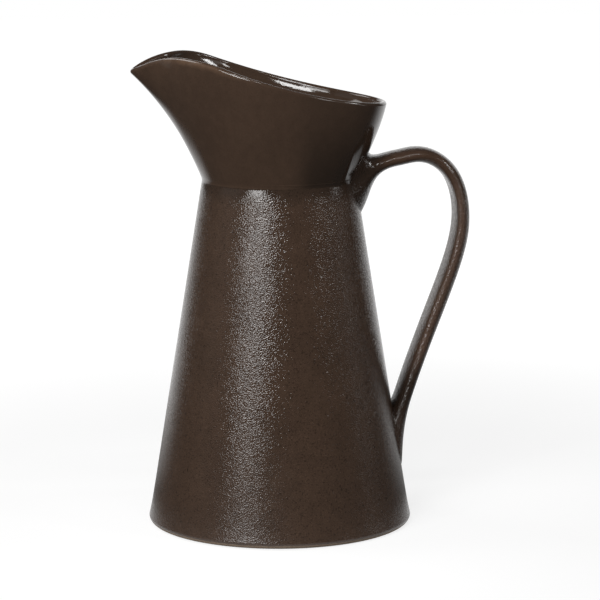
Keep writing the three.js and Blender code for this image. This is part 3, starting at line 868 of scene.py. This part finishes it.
def pulled_strap(line):
    """The strap along its centre line, thicker in its lower run and with a flatter inner face there.

    Gives its mesh, and its rings of points in millimetres.
    """
    tree, sockets = strap_tree()
    mesh = grown_mesh(drawn_curve("strap line", [(x, 0, z) for x, z in line]), tree, {
        sockets["Section Points"]: STRAP_SECTION_POINTS,
        sockets["Width"]: STRAP_WIDTH * MM,
        sockets["Thickness"]: STRAP_THICKNESS * MM,
        sockets["Roundness"]: 2 / STRAP_SECTION_POWER,
        sockets["Glaze"]: handle_glaze(),
    })
    mesh.name = "strap_handle"
    rings = points_of(mesh).reshape(len(line), STRAP_SECTION_POINTS, 3) / MM
    shares = np.linspace(0, 1, len(line))
    thicker = lerp(1, STRAP_LOWER_THICKNESS / STRAP_THICKNESS, smoothstep(shares, *STRAP_THICKENS))
    centres = line[:, None]
    rings[:, :, 0::2] = centres + (rings[:, :, 0::2] - centres) * thicker[:, None, None]
    along = np.gradient(line, axis=0)
    along /= np.linalg.norm(along, axis=1, keepdims=True)
    inwards = np.stack([along[:, 1], -along[:, 0]], 1)
    roll = (EDGE_ROLL * STRAP_THICKNESS / 2
            * smoothstep(shares, *EDGE_ROLL_STARTS) * smoothstep(shares, *EDGE_ROLL_ENDS))
    across = (2 * rings[:, :, 1] / STRAP_WIDTH) ** 2 - EDGE_ROLL_STILL
    rings[:, :, 0::2] += inwards[:, None] * (roll[:, None] * across)[:, :, None]
    mesh.vertices.foreach_set("co", (rings * MM).astype(np.float32).ravel())
    return mesh, rings


def section_spin():
    """Angles of the points round the strap's section, from one edge."""
    return 2 * math.pi * np.arange(STRAP_SECTION_POINTS) / STRAP_SECTION_POINTS


def drawn_clay(ring, travel, turns, footprint, bulge, hug):
    """Rings of clay drawn from an end ring of the strap onto the wall.

    Each point of the ring sets off along the strap, passes its turning point and comes down on the wall
    at its own place of the footprint, a bulge further out than the straight way.
    """
    shares = np.linspace(0, 1, ROOT_STEPS + 1)[1:]
    lines = []
    for start, turn, end, out in zip(ring, turns, footprint, bulge):
        reach = np.linalg.norm(turn - start)
        line = bezier((start, start + travel * reach * LEAVING_REACH, lerp(end, turn, hug), end), shares)
        line[:, 0] += out * shares ** 4 * (1 - shares) / BULGE_PEAK
        lines.append(line)
    return list(np.stack(lines, 1))


def root_on_wall(ring, step, outer_turn, inner_turn, side_turn, outer_end, inner_end,
                 half_width, edge_scale, bulge, hug):
    """Rings of one root, from the strap's end ring to a cap that stays hidden in the wall, and the cap.

    outer and inner name the strap's two faces, whose turning points lie in the plane of the handle;
    step is the last step of the strap's line, in that plane.
    """
    travel = np.array([step[0], 0, step[1]])
    travel /= np.linalg.norm(travel)
    spin = section_spin()
    across, out = -np.cos(spin), -np.sin(spin)
    sideways = across ** 2
    middle = (np.array(outer_turn) + np.array(inner_turn)) / 2
    half = (np.array(outer_turn) - np.array(inner_turn)) / 2
    plane = middle + out[:, None] * half + sideways[:, None] * (np.array(side_turn[:2]) - middle)
    turns = np.stack([plane[:, 0], across * side_turn[2], plane[:, 1]], 1)

    centre, rise = (outer_end + inner_end) / 2, (outer_end - inner_end) / 2
    spread = half_width / wall_point(0, centre)[0]
    squared_off = (out > 0) & (rise > 0)
    power = np.where(squared_off, 2 / FOOTPRINT_SQUARENESS, 1)
    print_across, print_out = (np.sign(v) * np.abs(v) ** power for v in (across, out))

    def on_wall(share, height):
        shares = np.broadcast_to(share, across.shape)
        return np.array([wall_point(spread * a * s, centre + rise * o * s, height)
                         for a, o, s in zip(print_across, print_out, shares)])

    rings = drawn_clay(ring, travel, turns, on_wall(1, ROOT_FOOT_RISE),
                       bulge * smoothstep(out, *ROOT_BULGES), hug)
    rings += [on_wall(1 + reach * sideways, height * edge_scale) for reach, height in ROOT_EDGE]
    rings += [on_wall(share, -CAP_DEPTH) for share in CAP_RINGS]
    return rings, wall_point(0, centre, -CAP_DEPTH)


def upper_root(line, rings):
    top, bottom = WAIST_HEIGHT + UPPER_ROOT_ABOVE, WAIST_HEIGHT - UPPER_ROOT_BELOW
    return root_on_wall(
        rings[0], line[0] - line[1],
        outer_turn=(wall_point(0, top)[0] + ROOT_DEPTH, top - UPPER_ROOT_DIP),
        inner_turn=(WAIST_RADIUS + UPPER_ROOT_SWEEP_OUT, WAIST_HEIGHT + UPPER_ROOT_SWEEP_RISE),
        side_turn=UPPER_SIDE_TURN, outer_end=top, inner_end=bottom + UPPER_ROOT_LIFT,
        half_width=UPPER_ROOT_SPREAD, edge_scale=UPPER_EDGE_SCALE, bulge=UPPER_ROOT_BULGE,
        hug=UPPER_ROOT_HUG)


def lower_root(line, rings):
    end_wall, top_wall = wall_point(0, LOWER_ROOT_END)[0], wall_point(0, LOWER_ROOT_TOP)[0]
    return root_on_wall(
        rings[-1], line[-1] - line[-2],
        outer_turn=(end_wall + ROOT_DEPTH / 2, LOWER_ROOT_END + ROOT_DEPTH),
        inner_turn=(top_wall + ROOT_DEPTH / 2, LOWER_ROOT_TOP + ROOT_DEPTH / 2),
        side_turn=LOWER_SIDE_TURN, outer_end=LOWER_ROOT_END, inner_end=LOWER_ROOT_TOP,
        half_width=LOWER_ROOT_WIDTH / 2, edge_scale=LOWER_EDGE_SCALE, bulge=0, hug=LOWER_ROOT_HUG)


def join_root(work, here, rings, cap, turned):
    """Joins the rings of a root to an end of the strap and closes them with the cap."""
    def add_face(*corners):
        work.faces.new(corners[::-1] if turned else corners).smooth = True

    count = len(here)
    for ring in rings:
        there = [work.verts.new(p * MM) for p in ring]
        for j in range(count):
            k = (j + 1) % count
            add_face(here[j], here[k], there[k], there[j])
        here = there
    tip = work.verts.new(cap * MM)
    for j in range(count):
        add_face(here[j], here[(j + 1) % count], tip)


def mark_handle(mesh, strap_rings):
    """Marks the painted sheen along the strap's edges, and the painted shade round the roots."""
    places = points_of(mesh) / MM
    away, height = places[:, 0], places[:, 2]
    # painted sheen along the strap's edges
    edge = np.zeros(len(places))
    edge[:strap_rings * STRAP_SECTION_POINTS] = np.tile(
        smoothstep(np.cos(section_spin()) ** 2, *SHEEN_EDGE), strap_rings)
    edge *= smoothstep(height, *SHEEN_BELOW_CREST) * smoothstep(height, *SHEEN_ABOVE_TAIL)
    set_attribute(mesh, "edge", edge)
    # painted shade near the wall under the upper root, and over the lower root
    upper_shade = smoothstep(away, *UPPER_SHADE_OUT) * smoothstep(height, *UPPER_SHADE_HEIGHT)
    lower_shade = (smoothstep(height, *LOWER_SHADE_HEIGHT)
                  * lerp(LOWER_SHADE_LEAST, 1, smoothstep(height, *LOWER_SHADE_FADES)))
    set_attribute(mesh, "painted_shade", HANDLE_SHADE * np.maximum(upper_shade, lower_shade))


def make_handle():
    line = strap_line()
    mesh, rings = pulled_strap(line)
    work = bmesh.new()
    work.from_mesh(mesh)
    strap = list(work.verts)
    join_root(work, strap[:STRAP_SECTION_POINTS], *upper_root(line, rings), turned=True)
    join_root(work, strap[-STRAP_SECTION_POINTS:], *lower_root(line, rings), turned=False)
    work.to_mesh(mesh)
    work.free()
    mark_handle(mesh, len(line))
    new_piece("strap_handle", mesh, "handle", "handle_upper_root", "handle_lower_root")


# --- Stage, light and camera ---

def stage_plane(name, corners, material):
    mesh = bpy.data.meshes.new(name)
    mesh.from_pydata(corners, [], [(0, 1, 2, 3)])
    mesh.materials.append(material)
    obj = placed(name, mesh)


def table_material():
    """White table: it takes the jug's shadow, and a little of its own light brings it up to white."""
    material, n = empty_material("white table")
    path = n.add("ShaderNodeLightPath")
    place = n.add("ShaderNodeTexCoord").outputs["Object"]
    away = n.add("ShaderNodeVectorMath", {"operation": "LENGTH"})
    n.feed(away.inputs[0], place)
    away = away.outputs["Value"]
    matt = n.add("ShaderNodeBsdfDiffuse", Color=n.spread(away, *TABLE_GREY))
    level = n.product(path.outputs["Is Camera Ray"], n.spread(away, *TABLE_GLOW))
    glow = n.add("ShaderNodeEmission", Color=WHITE, Strength=level)
    lit = n.add("ShaderNodeAddShader")
    n.feed(lit.inputs[0], matt.outputs[0])
    n.feed(lit.inputs[1], glow.outputs[0])

    axes = n.add("ShaderNodeSeparateXYZ", Vector=place).outputs
    bearing = n.math("ARCTAN2", axes["Y"], axes["X"])
    aside = n.math("ABSOLUTE", n.math("SUBTRACT", axes["X"], SWEEP_MIDDLE))
    sweep = n.product(n.spread(bearing, *SWEEP_LEFT), n.spread(bearing, *SWEEP_RIGHT),
                      n.spread(away, *SWEEP_SETS_IN), n.spread(aside, *SWEEP_FADES))
    mirrored = n.math("MAXIMUM", n.spread(away, *FOOT_PATCH),
                      n.spread(sweep, 0, 1, TABLE_LEAST, 1.0, smooth=False))
    in_glaze = n.add("ShaderNodeEmission", Color=WHITE, Strength=mirrored)

    seen = n.add("ShaderNodeMixShader")
    n.feed(seen.inputs[0], path.outputs["Is Glossy Ray"])
    n.feed(seen.inputs[1], lit.outputs[0])
    n.feed(seen.inputs[2], in_glaze.outputs[0])
    n.add("ShaderNodeOutputMaterial", Surface=seen.outputs[0])
    return material


def backdrop_material():
    """White to the camera and in the glaze, and dark to everything else."""
    material, n = empty_material("white backdrop")
    path = n.add("ShaderNodeLightPath")
    seen = n.math("MAXIMUM", path.outputs["Is Camera Ray"], path.outputs["Is Glossy Ray"])
    glow = n.add("ShaderNodeEmission", Color=WHITE, Strength=seen)
    n.add("ShaderNodeOutputMaterial", Surface=glow.outputs[0])
    return material


def make_stage():
    h, z = TABLE_HALF, TABLE_LEVEL
    stage_plane("table", [(-h, -h, z), (h, -h, z), (h, h, z), (-h, h, z)], table_material())
    left, right, back, top = BACKDROP_LEFT, BACKDROP_RIGHT, BACKDROP_BACK, BACKDROP_TOP
    stage_plane("backdrop", [(left, back, 0), (right, back, 0), (right, back, top), (left, back, top)],
                backdrop_material())


def make_world():
    world = bpy.data.worlds.new("studio")
    bpy.context.scene.world = world
    world.use_nodes = True
    world.node_tree.nodes.clear()
    n = Nodes(world.node_tree)
    path = n.add("ShaderNodeLightPath")
    level = n.add("ShaderNodeMix", {"data_type": "FLOAT"})
    n.feed(level.inputs[0], path.outputs["Is Glossy Ray"])
    n.feed(level.inputs[2], SKY_DIFFUSE)
    n.feed(level.inputs[3], SKY_IN_GLAZE)
    white = n.math("MAXIMUM", level.outputs[0], path.outputs["Is Camera Ray"])
    sky = n.add("ShaderNodeBackground", Color=WHITE, Strength=white)
    n.add("ShaderNodeOutputWorld", Surface=sky.outputs[0])


def make_lamp(name, azimuth, elevation, distance, width, height, radiance):
    """A rectangular lamp that faces the jug; azimuth 0 is along +X, and -90 towards the camera."""
    a, e = math.radians(azimuth), math.radians(elevation)
    direction = Vector((math.cos(a) * math.cos(e), math.sin(a) * math.cos(e), math.sin(e)))
    lamp = bpy.data.lights.new(name, "AREA")
    lamp.shape = "RECTANGLE"
    lamp.size, lamp.size_y = width, height
    lamp.energy = radiance * math.pi * width * height
    obj = placed(name, lamp)
    obj.location = Vector(LAMP_AIM) + direction * distance
    obj.rotation_mode = "QUATERNION"
    obj.rotation_quaternion = (-direction).to_track_quat("-Z", "Y")
    obj.visible_camera = False


def make_camera():
    """Camera at the photograph's place, with its focal length."""
    data = bpy.data.cameras.new("camera")
    data.sensor_width = SENSOR_WIDTH
    data.lens = FOCAL_PIXELS / FRAME_PIXELS * data.sensor_width
    data.clip_start, data.clip_end = CLIP_START, CLIP_END
    level = math.cos(CAMERA_PITCH)
    ahead = Vector((math.sin(CAMERA_YAW) * level, math.cos(CAMERA_YAW) * level, -math.sin(CAMERA_PITCH)))
    right = Vector((math.cos(CAMERA_YAW), -math.sin(CAMERA_YAW), 0))
    up = right.cross(ahead)
    c, s = math.cos(CAMERA_ROLL), math.sin(CAMERA_ROLL)
    right, up = right * c + up * s, up * c - right * s
    turn = Matrix.Rotation(-CAMERA_TURN, 3, "Z")
    axes = turn @ Matrix((right, up, -ahead)).transposed()
    place = turn @ Vector((0, -CAMERA_DISTANCE, CAMERA_HEIGHT))
    obj = placed("camera", data)
    obj.matrix_world = Matrix.Translation(place) @ axes.to_4x4()
    bpy.context.scene.camera = obj


make_body()
make_collar()
make_handle()
make_stage()
make_world()
for lamp in LAMPS:
    make_lamp(*lamp)
make_camera()
bpy.context.scene.view_settings.view_transform = "Standard"
